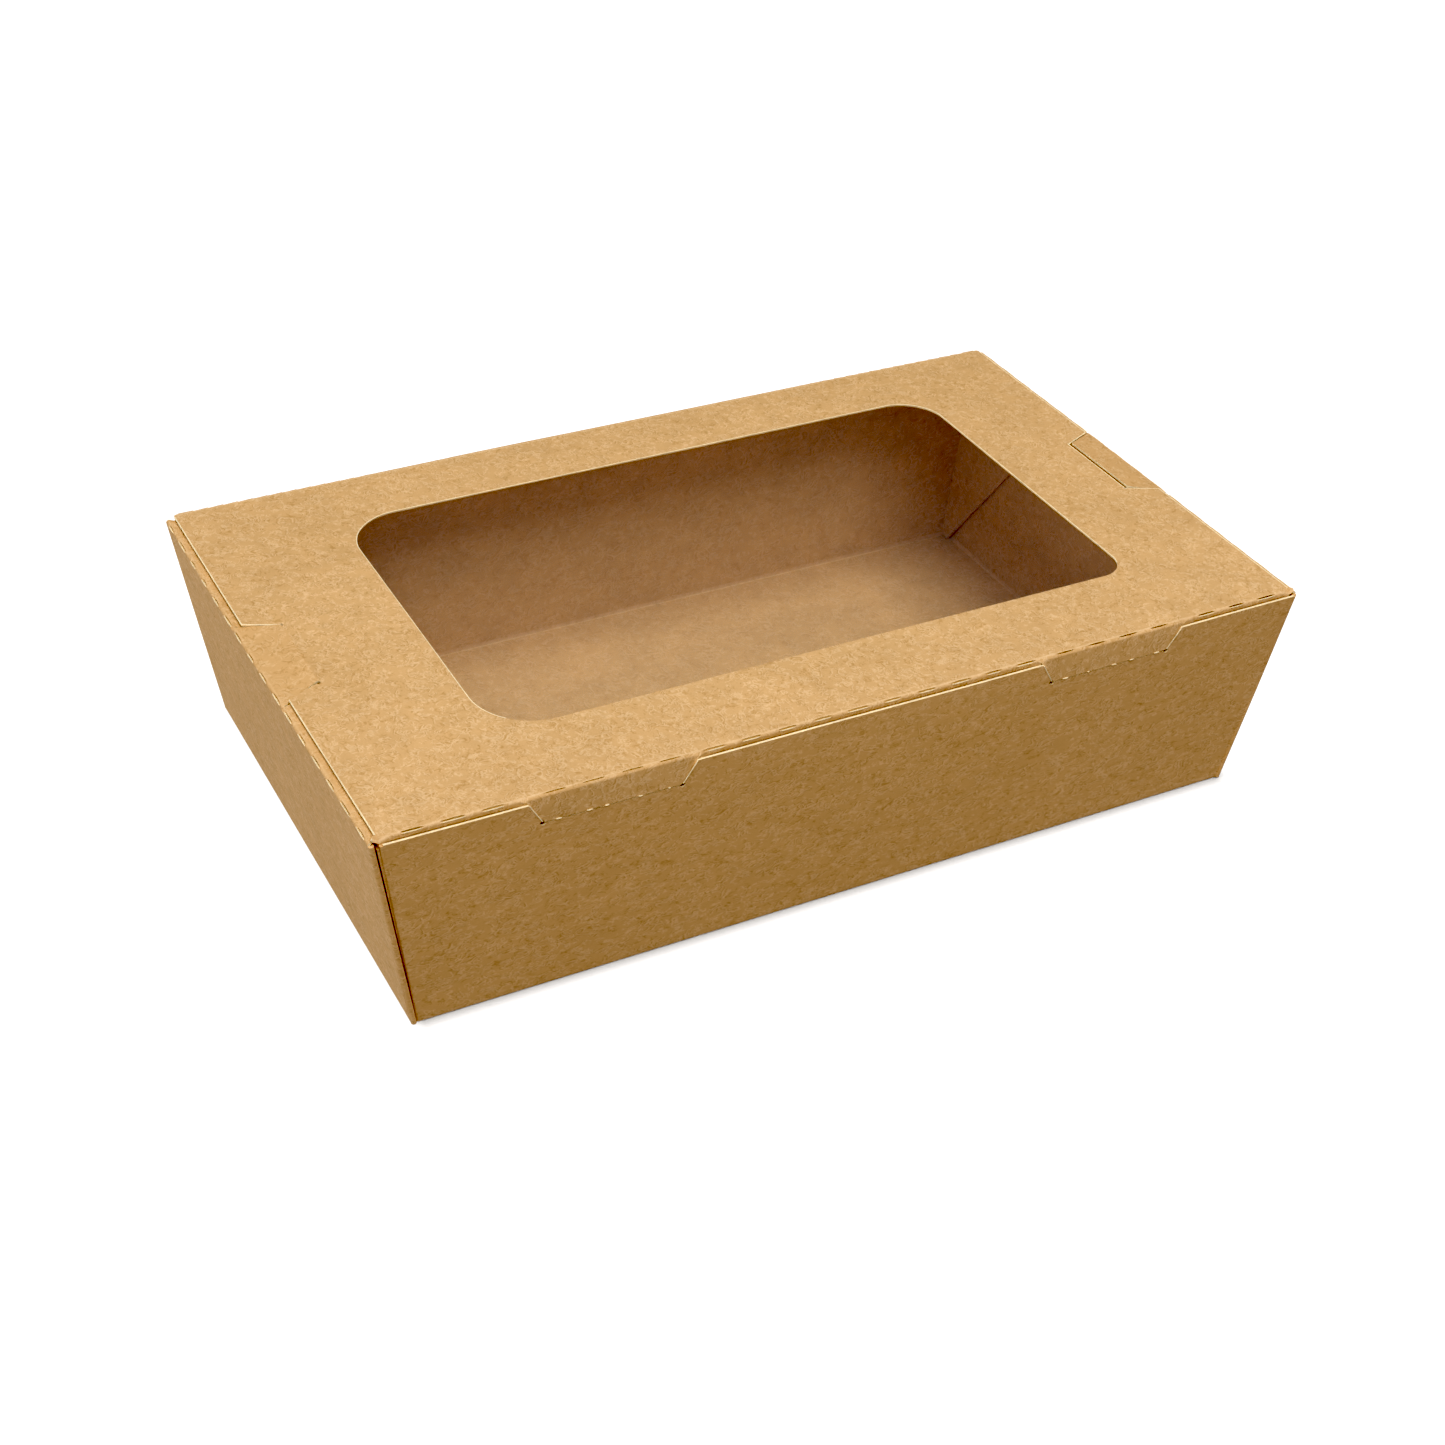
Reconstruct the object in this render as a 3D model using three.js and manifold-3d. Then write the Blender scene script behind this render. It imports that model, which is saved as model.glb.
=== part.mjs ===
// Takeaway food box of kraft board with a window in its lid.
// One die-cut blank makes tray and lid: the tray has webbed corners, and tongues lock the lid.
import * as THREE from "three";
import { mergeVertices } from "three/addons/utils/BufferGeometryUtils.js";
import Module from "manifold-3d";

const wasm = await Module();
wasm.setup();

// Overall sizes, in mm
const boxLength = 200; // over the end walls at the rim, along X
const boxDepth = 120; // over the front and back walls at the rim, along Y
const boxHeight = 48; // table to the top of the lid
const baseLength = 185;
const baseDepth = 111;

// Board and fit
const board = 0.45; // thickness of the board
const pressGap = 0.2; // between layers of board folded onto each other
const lidGap = 0.3; // between the lid's board and the tray's board

// Lid
const lidSideStep = 1.7; // end fold to the lid's raw side edge
const lidCornerRadius = 1.2;
const windowLength = 140;
const windowWidth = 82;
const windowOffset = 1.7; // window's middle behind the lid's middle
const windowRadius = 12;

// Film under the lid
const film = 0.12;
const filmOverlap = 8; // glued margin around the window
const glueLine = 0.02;

// Tuck flap behind the front wall
const flapDepth = 16;
const flapInset = 4.5; // box end to the flap's end, at the fold
const flapTaper = 7; // how much each end comes in at the flap's free edge
const flapLean = 0.1; // inward run per mm of depth

// Flanges that fold in from the end walls
const flangeWidth = 16;
const flangeInset = 2; // rim corner to the flange's end, at the fold
const flangeTaper = 12;

// Front wall
const frontWallDrop = 1.3; // lid's top to the wall's raw edge
const backWallDrop = 0.9; // lid's top to the back crease

// Lock tongues: wide at the fold, narrow at the tip
const frontTongueWide = 34;
const frontTongueNarrow = 27;
const frontTongueDepth = 6;
const frontTongueX = 54; // middle of each front tongue from the box's middle
const endTongueWide = 29;
const endTongueNarrow = 21;
const endTongueDepth = 8.2;
const tongueClearance = 0.3;
const cornerRelief = 0.45; // radius of the knife's over-run at a notch corner
const tongueProud = 0.05;

// Cut-crease: the knife cuts that make a fold sharp
const slitLength = 4.8;
const slitPitch = 7.5;
const slitWidth = 0.24;

// Values that follow
const halfL = boxLength / 2;
const halfD = boxDepth / 2;
const halfBaseL = baseLength / 2;
const halfBaseD = baseDepth / 2;
const lidUnder = boxHeight - board;
const flangeTop = lidUnder - lidGap;
const endRim = flangeTop - board; // height of the end walls' top fold
const endLean = (halfL - halfBaseL) / endRim;
const sideLean = (halfD - halfBaseD) / boxHeight;
const foldRound = 16; // sides of a full round at a fold
const foldShy = 0.1; // panels stop this far from a slit fold's axis, and the fold joins them

// Solids and booleans

function solid(geometry) {
  const g = geometry.index ? geometry.toNonIndexed() : geometry.clone();
  g.deleteAttribute("normal");
  g.deleteAttribute("uv");
  const merged = mergeVertices(g, 1e-5);
  return new wasm.Manifold(
    new wasm.Mesh({
      numProp: 3,
      vertProperties: new Float32Array(merged.attributes.position.array),
      triVerts: new Uint32Array(merged.index.array),
    }),
  );
}

function union(parts) {
  return parts.reduce((a, b) => a.add(b));
}

function meshOf(name, body, material) {
  const m = body.getMesh();
  const position = new Float32Array(m.numVert * 3);
  for (let i = 0; i < m.numVert; i++)
    position.set(m.vertProperties.subarray(i * m.numProp, i * m.numProp + 3), i * 3);
  const g = new THREE.BufferGeometry();
  g.setAttribute("position", new THREE.BufferAttribute(position, 3));
  g.setIndex(new THREE.BufferAttribute(new Uint32Array(m.triVerts), 1));
  g.computeVertexNormals();
  const mesh = new THREE.Mesh(g, material);
  mesh.name = name;
  return mesh;
}

// A frame on a panel's outer face: x and y run in the face, z points out of the board
function frameOf(origin, across, up) {
  const x = new THREE.Vector3(...across).normalize();
  const y = new THREE.Vector3(...up).normalize();
  const z = new THREE.Vector3().crossVectors(x, y);
  return new THREE.Matrix4().makeBasis(x, y, z).setPosition(...origin);
}

// A flat piece of board: an outline in a frame, starting at a depth below the outer face
function sheet(outline, frame, depth = 0, thickness = board) {
  const shape = outline instanceof THREE.Shape ? outline : new THREE.Shape(outline);
  const g = new THREE.ExtrudeGeometry(shape, {
    depth: thickness,
    bevelEnabled: false,
    curveSegments: 10,
  });
  g.translate(0, 0, -depth - thickness);
  g.applyMatrix4(frame);
  return solid(g);
}

// A round rod between two points: the rounded back of a fold
function rod(a, b, radius = board, sides = foldRound) {
  const p = new THREE.Vector3(...a);
  const q = new THREE.Vector3(...b);
  const d = q.clone().sub(p);
  const g = new THREE.CylinderGeometry(radius, radius, d.length(), sides);
  const turn = new THREE.Quaternion().setFromUnitVectors(
    new THREE.Vector3(0, 1, 0),
    d.clone().normalize(),
  );
  g.applyMatrix4(
    new THREE.Matrix4().compose(
      p.add(q).multiplyScalar(0.5),
      turn,
      new THREE.Vector3(1, 1, 1),
    ),
  );
  return solid(g);
}

function block(x0, x1, y0, y1, z0, z1) {
  const g = new THREE.BoxGeometry(x1 - x0, y1 - y0, z1 - z0);
  g.translate((x0 + x1) / 2, (y0 + y1) / 2, (z0 + z1) / 2);
  return solid(g);
}

const mirroredX = (body) => body.mirror([1, 0, 0]);
const mirroredY = (body) => body.mirror([0, 1, 0]);

const pt = (x, y) => new THREE.Vector2(x, y);

// A trapezoid that hangs from the x axis: wide at the top, narrow at the tip
function tongueOutline(middle, wide, narrow, depth, rise = 0) {
  return [
    pt(middle - wide / 2, rise),
    pt(middle - narrow / 2, -depth),
    pt(middle + narrow / 2, -depth),
    pt(middle + wide / 2, rise),
  ];
}

// The same trapezoid grown by a margin, carried on upwards past the edge it opens at
function notchOutline(middle, wide, narrow, depth, margin, above) {
  const slope = (wide - narrow) / 2 / depth;
  const side = margin * Math.hypot(1, slope);
  const top = wide / 2 + side + slope * above;
  const bottom = narrow / 2 + side - slope * margin;
  return [
    pt(middle - top, above),
    pt(middle - bottom, -depth - margin),
    pt(middle + bottom, -depth - margin),
    pt(middle + top, above),
  ];
}

// Knife cuts along a fold, laid out from the middle of its length
function slitCentres(length, keepOut = () => false) {
  const n = Math.floor((length - slitLength) / slitPitch / 2);
  const out = [];
  for (let i = -n; i <= n; i++)
    if (!keepOut(i * slitPitch)) out.push(i * slitPitch);
  return out;
}

// Tray: base, with its fold axes one board inside the outer faces
function baseSheet() {
  const x = halfBaseL - board;
  const y = halfBaseD - board;
  const floor = block(-x, x, -y, y, 0, board);
  const long = rod([-x, -y, board], [x, -y, board]);
  const short = rod([-x, -y, board], [-x, y, board]);
  return union([floor, long, mirroredY(long), short, mirroredX(short)]);
}

// Tray: front and back walls. The frame starts at the middle of the base edge.
const sideSlant = Math.hypot(boxHeight, halfD - halfBaseD) / boxHeight;
const frontFrame = frameOf([0, -halfBaseD, 0], [1, 0, 0], [0, -sideLean, 1]);

// How far a wall's end stands in from the ideal corner: the doubled web and its fold
const webStack = 2 * board + 2 * pressGap; // end wall's outer face to the inner web layer
const wallEnd = (z) => halfBaseL + endLean * z - webStack - board;

function sideWall(top) {
  const z0 = board * 0.5;
  const y = (z) => z * sideSlant;
  return sheet(
    [
      pt(-wallEnd(z0), y(z0)),
      pt(wallEnd(z0), y(z0)),
      pt(wallEnd(top), y(top)),
      pt(-wallEnd(top), y(top)),
    ],
    frontFrame,
  );
}

function frontWall() {
  const top = boxHeight - frontWallDrop;
  const rim = boxHeight * sideSlant;
  const cuts = [-1, 1].flatMap((s) => {
    const grown = notchOutline(
      s * frontTongueX,
      frontTongueWide,
      frontTongueNarrow,
      frontTongueDepth,
      tongueClearance,
      1,
    );
    const place = frontFrame.clone().multiply(new THREE.Matrix4().makeTranslation(0, rim, 0));
    return [
      sheet(grown, place, -1, board + 2),
      ...grown.slice(1, 3).map((c) => reliefHole(c, place)),
    ];
  });
  return cuts.reduce((wall, cut) => wall.subtract(cut), sideWall(top));
}

// The small hole where two knife cuts meet and run over
function reliefHole(centre, frame) {
  const g = new THREE.CylinderGeometry(cornerRelief, cornerRelief, board + 2, 10);
  g.rotateX(Math.PI / 2);
  g.translate(centre.x, centre.y, -board / 2);
  g.applyMatrix4(frame);
  return solid(g);
}

// Tray: end wall at +X, its frame starting at the middle of the base edge
const endSlant = Math.hypot(endRim, halfL - halfBaseL) / endRim;
const endFrame = frameOf([halfBaseL, 0, 0], [0, 1, 0], [endLean, 0, 1]);
const endEdge = (z) => halfBaseD + sideLean * z - board / 2; // outermost line of the doubled fold
const foldRadius = board + pressGap / 2;

function endWall() {
  const z0 = board * 0.5;
  const top = endRim - foldShy;
  const v = (z) => endEdge(z) - foldRadius;
  const u = (z) => z * endSlant;
  return sheet(
    [pt(-v(z0), u(z0)), pt(v(z0), u(z0)), pt(v(top), u(top)), pt(-v(top), u(top))],
    endFrame,
  );
}

// Tray: the web at one corner, a triangle of board folded double against the end wall.
// Its diagonal halves the corner's angle in the flat blank.
const endSpread = Math.atan(sideLean / endSlant);
const sideSpread = Math.atan(endLean / sideSlant);
const webHalfAngle = (Math.PI / 2 - endSpread - sideSpread) / 2;
const webSlope = Math.tan(webHalfAngle - endSpread);
const webTop = endRim - 1.3;
// The line about which the front or back wall turns in to become the web's inner layer
const bendLine = (z) => halfBaseD + sideLean * z - board;

function webCorner() {
  const low = board * 1.2;
  const u = (z) => z * endSlant;
  const edge = (z) => endEdge(z) - foldRadius;
  const foot = edge(0);
  const diagonal = (z) => foot - 1.2 - webSlope * u(z);
  const triangle = (outer) => [
    pt(outer(low), u(low)),
    pt(outer(webTop), u(webTop)),
    pt(diagonal(webTop), u(webTop)),
    pt(diagonal(low), u(low)),
  ];
  const inFrame = (v, z, depth) =>
    new THREE.Vector3(v, u(z), -depth).applyMatrix4(endFrame).toArray();
  const outerLayer = sheet(triangle(edge), endFrame, board + pressGap);
  const innerLayer = sheet(triangle(bendLine), endFrame, webStack);
  const outerFold = rod(
    inFrame(edge(low), low, foldRadius),
    inFrame(edge(webTop), webTop, foldRadius),
    foldRadius,
  );
  const deep = board + pressGap + foldRadius;
  const diagonalFold = rod(
    inFrame(diagonal(low), low, deep),
    inFrame(diagonal(webTop), webTop, deep),
    foldRadius,
  );
  const bend = rod(
    inFrame(bendLine(low), low, webStack + board),
    inFrame(bendLine(webTop), webTop, webStack + board),
  );
  return union([outerLayer, innerLayer, outerFold, diagonalFold, bend]);
}

// Tray: flange that folds in under the lid, with its lock tongue
const topFrame = (z) => frameOf([halfL, 0, z], [0, -1, 0], [1, 0, 0]);

function endFlange() {
  const long = halfD - flangeInset;
  const short = long - flangeTaper;
  const plate = sheet(
    [
      pt(-long, -board - foldShy),
      pt(-short, -flangeWidth),
      pt(short, -flangeWidth),
      pt(long, -board - foldShy),
    ],
    topFrame(flangeTop),
  );
  const grown = notchOutline(
    0,
    endTongueWide,
    endTongueNarrow,
    endTongueDepth,
    tongueClearance,
    -board * 1.5,
  );
  return plate.subtract(sheet(grown, topFrame(flangeTop), -1, board + 2));
}

function endTongue() {
  const rise = boxHeight + tongueProud - flangeTop;
  const run = endTongueDepth - board;
  const slope = rise / run;
  const frame = frameOf([halfL - board, 0, flangeTop], [0, -1, 0], [1, 0, -slope]);
  const cut = tongueOutline(0, endTongueWide, endTongueNarrow, run, 0.1);
  return sheet(cut, frame);
}

function endFold() {
  const long = halfD - flangeInset;
  const x = halfL - board;
  const z = flangeTop - board;
  const fold = rod([x, -long, z], [x, long, z]);
  const inTongue = (y) => Math.abs(Math.abs(y) - endTongueWide / 2) < slitLength / 2 + 0.6;
  return slitCentres(2 * long, inTongue).reduce(
    (body, y) => body.subtract(foldSlit([x, y, z], [0, 1, 0], [1, 0, 1])),
    fold,
  );
}

// A knife cut through the back of a fold at one place
function foldSlit(at, along, outward) {
  const y = new THREE.Vector3(...along).normalize();
  const z = new THREE.Vector3(...outward).normalize();
  const x = new THREE.Vector3().crossVectors(y, z);
  const g = new THREE.BoxGeometry(slitWidth, slitLength, board * 3);
  g.applyMatrix4(new THREE.Matrix4().makeBasis(x, y, z).setPosition(...at));
  return solid(g);
}

function tray() {
  const web = webCorner();
  const end = union([endWall(), web, mirroredY(web), endFlange(), endTongue(), endFold()]);
  return union([
    baseSheet(),
    frontWall(),
    mirroredY(sideWall(boxHeight - backWallDrop)),
    end,
    mirroredX(end),
  ]);
}

// Lid: the panel with its window and the notches for the end tongues
function roundedBox(shape, cx, cy, w, h, r) {
  const [x0, x1, y0, y1] = [cx - w / 2, cx + w / 2, cy - h / 2, cy + h / 2];
  shape.moveTo(x0 + r, y0);
  shape.lineTo(x1 - r, y0);
  shape.absarc(x1 - r, y0 + r, r, -Math.PI / 2, 0, false);
  shape.lineTo(x1, y1 - r);
  shape.absarc(x1 - r, y1 - r, r, 0, Math.PI / 2, false);
  shape.lineTo(x0 + r, y1);
  shape.absarc(x0 + r, y1 - r, r, Math.PI / 2, Math.PI, false);
  shape.lineTo(x0, y0 + r);
  shape.absarc(x0 + r, y0 + r, r, Math.PI, Math.PI * 1.5, false);
  return shape;
}

const lidFoldY = -(halfD - board - lidGap - board); // axis of the front fold
const lidBackY = halfD - board;
const lidHalf = halfL - lidSideStep;

function lidPanel() {
  const depth = lidBackY - lidFoldY - foldShy;
  const middle = (lidBackY + lidFoldY + foldShy) / 2;
  const outline = new THREE.Shape();
  roundedBox(outline, 0, middle, 2 * lidHalf, depth, lidCornerRadius);
  outline.holes.push(
    roundedBox(new THREE.Path(), 0, windowOffset, windowLength, windowWidth, windowRadius),
  );
  const flat = new THREE.Matrix4().makeTranslation(0, 0, boxHeight);
  const notch = notchOutline(0, endTongueWide, endTongueNarrow, endTongueDepth, tongueClearance, 1);
  const place = topFrame(boxHeight);
  const cut = union([
    sheet(notch, place, -1, board + 2),
    ...notch.slice(1, 3).map((c) => reliefHole(c, place)),
  ]);
  return sheet(outline, flat).subtract(cut).subtract(mirroredX(cut));
}

// Lid: the tuck flap and the two tongues cut out of it
const flapOuterY = lidFoldY - board;
const flapFrame = frameOf([0, flapOuterY, boxHeight - board], [1, 0, 0], [0, -flapLean, 1]);

function tuckFlap() {
  const wide = halfL - flapInset;
  const narrow = wide - flapTaper;
  const round = 4;
  const outline = new THREE.Shape();
  outline.moveTo(-wide, -foldShy);
  outline.lineTo(-narrow - flapTaper * 0.3, -flapDepth + round);
  outline.quadraticCurveTo(-narrow, -flapDepth, -narrow + round, -flapDepth);
  outline.lineTo(narrow - round, -flapDepth);
  outline.quadraticCurveTo(narrow, -flapDepth, narrow + flapTaper * 0.3, -flapDepth + round);
  outline.lineTo(wide, -foldShy);
  const cuts = [-1, 1].map((s) =>
    sheet(
      notchOutline(
        s * frontTongueX,
        frontTongueWide,
        frontTongueNarrow,
        frontTongueDepth,
        tongueClearance,
        -board,
      ),
      flapFrame,
      -1,
      board + 2,
    ),
  );
  return cuts.reduce((body, cut) => body.subtract(cut), sheet(outline, flapFrame));
}

function frontTongue(side) {
  const tipOut = halfD - sideLean * frontTongueDepth + tongueProud;
  const drop = frontTongueDepth - board;
  const run = (tipOut + flapOuterY) / drop;
  const frame = frameOf([0, flapOuterY, boxHeight - board], [1, 0, 0], [0, run, 1]);
  return sheet(
    tongueOutline(side * frontTongueX, frontTongueWide, frontTongueNarrow, drop, 0.1),
    frame,
  );
}

function lidFold() {
  const wide = lidHalf - lidCornerRadius * 0.3;
  const z = boxHeight - board;
  const fold = rod([-wide, lidFoldY, z], [wide, lidFoldY, z]);
  const atTongueCorner = (x) => {
    const near = Math.abs(Math.abs(x) - frontTongueX);
    return Math.abs(near - frontTongueWide / 2) < slitLength / 2 + 0.6;
  };
  return slitCentres(2 * wide, atTongueCorner).reduce(
    (body, x) => body.subtract(foldSlit([x, lidFoldY, z], [1, 0, 0], [0, -1, 1])),
    fold,
  );
}

function lid() {
  const back = rod([-lidHalf + 1, lidBackY, lidUnder], [lidHalf - 1, lidBackY, lidUnder]);
  const crease = back.subtract(
    block(-halfL, halfL, lidBackY - board, halfD + 1, lidUnder - 1, lidUnder),
  );
  return union([lidPanel(), crease, lidFold(), tuckFlap(), frontTongue(-1), frontTongue(1)]);
}

// Film: a plain clear sheet glued under the lid, larger than the window all round
function windowFilm() {
  const outline = roundedBox(
    new THREE.Shape(),
    0,
    windowOffset,
    windowLength + 2 * filmOverlap,
    windowWidth + 2 * filmOverlap,
    1,
  );
  const z = lidUnder - glueLine;
  return sheet(outline, new THREE.Matrix4().makeTranslation(0, 0, z), 0, film);
}

const kraft = () =>
  new THREE.MeshStandardMaterial({ color: 0xc0986a, roughness: 0.85, metalness: 0 });
const clear = new THREE.MeshStandardMaterial({
  color: 0xe8eef0,
  roughness: 0.08,
  metalness: 0,
  transparent: true,
  opacity: 0.3,
});

const group = new THREE.Group();
group.add(meshOf("tray", tray(), kraft()));
group.add(meshOf("lid", lid(), kraft()));
group.add(meshOf("window_film", windowFilm(), clear));

export default group;
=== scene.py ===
import math
from bisect import bisect_right

import bmesh
import bpy
import numpy as np
from mathutils import Matrix, Vector, noise
from mathutils.geometry import delaunay_2d_cdt


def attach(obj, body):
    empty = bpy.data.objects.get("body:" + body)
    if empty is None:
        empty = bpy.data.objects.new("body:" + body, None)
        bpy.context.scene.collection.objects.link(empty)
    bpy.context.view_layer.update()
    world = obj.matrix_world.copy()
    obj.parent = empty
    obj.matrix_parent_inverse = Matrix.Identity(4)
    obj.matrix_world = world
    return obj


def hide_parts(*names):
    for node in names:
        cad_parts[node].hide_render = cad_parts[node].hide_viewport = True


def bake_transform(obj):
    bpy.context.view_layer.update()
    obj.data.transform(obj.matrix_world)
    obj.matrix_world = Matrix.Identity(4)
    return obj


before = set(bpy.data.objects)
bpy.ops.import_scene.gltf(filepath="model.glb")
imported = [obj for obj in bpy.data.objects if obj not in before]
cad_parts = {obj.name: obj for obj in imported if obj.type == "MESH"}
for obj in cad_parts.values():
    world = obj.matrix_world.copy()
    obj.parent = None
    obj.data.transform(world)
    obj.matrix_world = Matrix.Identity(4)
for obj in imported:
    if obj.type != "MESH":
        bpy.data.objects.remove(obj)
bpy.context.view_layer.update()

mm = 0.001

# the board and the box, in mm
box = {
    "halfLength": 100.0,
    "halfDepth": 60.0,
    "height": 48.0,
    "halfBaseLength": 92.5,
    "halfBaseDepth": 55.5,
    "board": 0.45,
    "foldRadius": 0.6,  # outer radius of every fold
    "pressGap": 0.2,  # between layers folded flat
    "flangeTop": 47.25,  # top face of the end flanges
    "gridStep": 3.2,  # spacing of the mesh on flat board
}

slack = 0.02  # mm, so that a point on a cut's own line counts as inside
foldSteps = 7  # a rounded fold has this many steps, so one more point
outerFace, innerFace, cutEdge = 0, 1, 2  # material slots of the board

# how far the board strays from flat, in mm
bulge = {
    "front": 0.5,
    "ends": 0.3,
    "top": 0.35,
    "ripple": 0.10,
    "rippleSize": 38.0,
    "startX": 76.0,  # where a wall's share begins, from the middle of the box
    "startY": 40.0,
    "ramp": 14.0,
    "lidBelow": 8.0,  # the lid's share begins this far under its top
    "lidRamp": 6.0,
}

endLean = (box["halfLength"] - box["halfBaseLength"]) / (box["flangeTop"] - box["board"])
sideLean = (box["halfDepth"] - box["halfBaseDepth"]) / box["height"]


def lerp(a, b, t):
    return a + (b - a) * t


def endX(z):
    return box["halfBaseLength"] + endLean * z


def sideY(z):
    return box["halfBaseDepth"] + sideLean * z


def warped(p):
    # every piece goes through the same field, so neighbours stay together
    x, y, z = p
    alongX = max(0.0, math.cos(math.pi * x / (2 * box["halfLength"] + 4)))
    alongY = max(0.0, math.cos(math.pi * y / (2 * box["halfDepth"] + 4)))
    up = max(0.0, math.sin(math.pi * min(max(z / box["height"], 0), 1) * 0.86))
    wallY = min(max((abs(y) - bulge["startY"]) / bulge["ramp"], 0), 1)
    wallX = min(max((abs(x) - bulge["startX"]) / bulge["ramp"], 0), 1)
    lidZ = min(max((z - box["height"] + bulge["lidBelow"]) / bulge["lidRamp"], 0), 1)
    field = noise.noise(Vector((x, y, z * 1.7)) / bulge["rippleSize"] + Vector((3.1, 0.4, 7.7)))
    dy = math.copysign(1, y) * wallY * alongX * up * bulge["front"]
    dx = math.copysign(1, x) * wallX * alongY * up * bulge["ends"]
    dz = lidZ * (alongX * alongY * bulge["top"] + field * bulge["ripple"])
    dy += wallY * field * bulge["ripple"] * min(z / 10, 1)
    return Vector((x + dx, y + dy, z + dz))


# fold paths: a line with rounded corners, walked by its length

def filleted(corners, radius, segments=foldSteps):
    path = [Vector(corners[0])]
    for before, here, after in zip(corners, corners[1:], corners[2:]):
        before, here, after = Vector(before), Vector(here), Vector(after)
        inward, outward = (here - before).normalized(), (after - here).normalized()
        turn = math.atan2(inward.x * outward.y - inward.y * outward.x, inward.dot(outward))
        start = here - inward * radius * math.tan(abs(turn) / 2)
        side = Vector((-inward.y, inward.x)) * math.copysign(1, turn)
        centre = start + side * radius
        spoke = start - centre
        for k in range(segments + 1):
            c, s = math.cos(turn * k / segments), math.sin(turn * k / segments)
            path.append(centre + Vector((spoke.x * c - spoke.y * s, spoke.x * s + spoke.y * c)))
    path.append(Vector(corners[-1]))
    lengths = [0.0]
    for a, b in zip(path, path[1:]):
        lengths.append(lengths[-1] + (b - a).length)
    return path, lengths


def walk(fold, s):
    path, lengths = fold
    i = min(max(bisect_right(lengths, s), 1), len(path) - 1)
    span = lengths[i] - lengths[i - 1]
    return path[i - 1].lerp(path[i], (s - lengths[i - 1]) / span)


# flat board: an outline with holes becomes an even triangle mesh

def splitLoop(loop, step, rows):
    out = []
    for a, b in zip(loop, loop[1:] + loop[:1]):
        a, b = Vector(a), Vector(b)
        cuts = {0.0}
        parts = max(1, round((b - a).length / step))
        cuts.update(k / parts for k in range(parts))
        if abs(b.y - a.y) > 1e-6:
            for row in rows:
                t = (row - a.y) / (b.y - a.y)
                if 1e-3 < t < 1 - 1e-3:
                    cuts.add(t)
        kept = []
        for t in sorted(cuts):
            if not kept or (t - kept[-1]) * (b - a).length > 0.03:
                kept.append(t)
        out += [a.lerp(b, t) for t in kept]
    return out


def insideLoop(points, loop):
    px, py = points[:, 0], points[:, 1]
    inside = np.zeros(len(points), bool)
    loop = np.array([tuple(v) for v in loop])
    for (x0, y0), (x1, y1) in zip(loop, np.roll(loop, -1, axis=0)):
        crosses = (y0 > py) != (y1 > py)
        with np.errstate(divide="ignore", invalid="ignore"):
            inside ^= crosses & (px < (x1 - x0) * (py - y0) / (y1 - y0) + x0)
    return inside


def distanceToLoop(points, loop):
    loop = np.array([tuple(v) for v in loop])
    best = np.full(len(points), 1e9)
    for a, b in zip(loop, np.roll(loop, -1, axis=0)):
        d = b - a
        t = np.clip(((points - a) @ d) / max(d @ d, 1e-12), 0, 1)
        best = np.minimum(best, np.linalg.norm(points - (a + t[:, None] * d), axis=1))
    return best


def boardPatch(outline, holes=(), rows=(), step=None):
    step = step or box["gridStep"]
    loops = [splitLoop(list(loop), step, rows) for loop in (outline, *holes)]
    verts, edges = [], []
    for loop in loops:
        first = len(verts)
        verts += loop
        edges += [(first + i, first + (i + 1) % len(loop)) for i in range(len(loop))]
    low = np.array([tuple(v) for v in loops[0]]).min(0)
    high = np.array([tuple(v) for v in loops[0]]).max(0)
    nx = max(1, round((high[0] - low[0]) / step))
    ny = max(1, round((high[1] - low[1]) / step))
    xs = np.linspace(low[0], high[0], nx + 1)[1:-1]
    ys = [y for y in np.linspace(low[1], high[1], ny + 1)[1:-1]
          if all(abs(y - row) > 0.3 * step for row in rows)]
    lattice = np.array([(x, y) for y in ys for x in xs]).reshape(-1, 2)
    onRows = np.array([(x, y) for y in rows for x in xs]).reshape(-1, 2)
    for points, margin in ((lattice, 0.4 * step), (onRows, 0.12)):
        if not len(points):
            continue
        keep = insideLoop(points, loops[0])
        for loop in loops[1:]:
            keep &= ~insideLoop(points, loop)
        for loop in loops:
            keep &= distanceToLoop(points, loop) > margin
        verts += [Vector(p) for p in points[keep]]
    made = delaunay_2d_cdt(verts, edges, [], 0, 1e-5, False)
    points = np.array([tuple(v) for v in made[0]])
    faces = [tuple(f) for f in made[2]]
    middles = np.array([points[list(f)].mean(0) for f in faces])
    keep = insideLoop(middles, loops[0])
    for loop in loops[1:]:
        keep &= ~insideLoop(middles, loop)
    return points, [f for f, k in zip(faces, keep) if k]


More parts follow.
